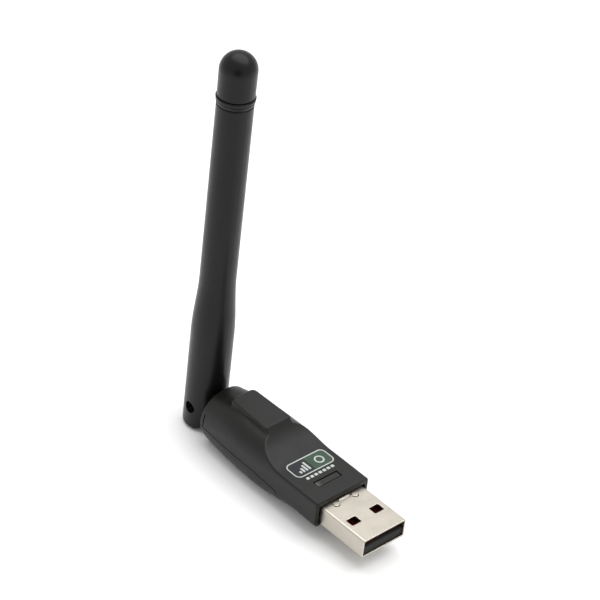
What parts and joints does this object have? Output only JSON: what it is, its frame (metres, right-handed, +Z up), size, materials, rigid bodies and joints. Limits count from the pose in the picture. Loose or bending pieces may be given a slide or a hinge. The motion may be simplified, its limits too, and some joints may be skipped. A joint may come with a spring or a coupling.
{
  "type": "usb wifi adapter",
  "caption": "USB wifi adapter: a wedge-backed black plastic housing with a flat USB plug, a label deck, and a rod antenna that swivels and folds.",
  "frame": {"origin": "on the plug's centre line at the housing's front face", "axes": "+X points out of the plug's nose, +Y across the plug, +Z up away from the contact tongue; the antenna stands upright at rest"},
  "size_m": [0.0612, 0.0148, 0.0937],
  "materials": {
    "housing_plastic": "fine textured satin black",
    "antenna_plastic": "semi-gloss black",
    "knuckle_plastic": "satin black",
    "smoked_lens": "glossy smoked plastic",
    "plug_steel": "nickel-plated, satin",
    "tongue_plastic": "black",
    "contact_gold": "gold-plated",
    "pin_steel": "plain",
    "board_green": "green solder mask",
    "chip_black": "moulded epoxy",
    "component_ceramic": "fired ceramic",
    "crystal_can": "plated can",
    "led_body": "clear resin",
    "coax_jacket": "extruded",
    "dipole_brass": "drawn tube",
    "radiator_copper": "bare copper wire"
  },
  "bodies": {
    "housing": {"top_shell": "housing_plastic", "bottom_shell": "housing_plastic", "led_window": "smoked_lens", "usb_shell": "plug_steel", "usb_insulator": "tongue_plastic", "usb_contact_1": "contact_gold", "usb_contact_2": "contact_gold", "usb_contact_3": "contact_gold", "usb_contact_4": "contact_gold", "circuit_board": "board_green", "wifi_chip": "chip_black", "crystal_oscillator": "crystal_can", "voltage_regulator": "chip_black", "status_led": "led_body", "chip_capacitor_1": "component_ceramic", "chip_capacitor_2": "component_ceramic", "chip_capacitor_3": "component_ceramic", "chip_capacitor_4": "component_ceramic", "chip_capacitor_5": "component_ceramic", "chip_capacitor_6": "component_ceramic", "chip_resistor_1": "chip_black", "chip_resistor_2": "chip_black", "chip_resistor_3": "chip_black", "chip_resistor_4": "chip_black", "coax_housing": "coax_jacket"},
    "swivel": {"swivel_knuckle": "knuckle_plastic", "hinge_pin_near": "pin_steel", "hinge_pin_far": "pin_steel", "coax_swivel": "coax_jacket"},
    "antenna": {"antenna_sleeve": "antenna_plastic", "antenna_ring": "antenna_plastic", "antenna_tip_cap": "antenna_plastic", "coax_antenna": "coax_jacket", "dipole_sleeve": "dipole_brass", "radiator_wire": "radiator_copper"}
  },
  "joints": [
    {"name": "antenna_swivel", "type": "hinge", "parent": "housing", "child": "swivel", "pos_m": [-0.03795, 0, -0.0004], "axis": [1, 0, 0], "range_deg": [-160, 160]},
    {"name": "antenna_fold", "type": "hinge", "parent": "swivel", "child": "antenna", "pos_m": [-0.0435, 0, -0.0004], "axis": [0, 1, 0], "range_deg": [-90, 0]}
  ]
}
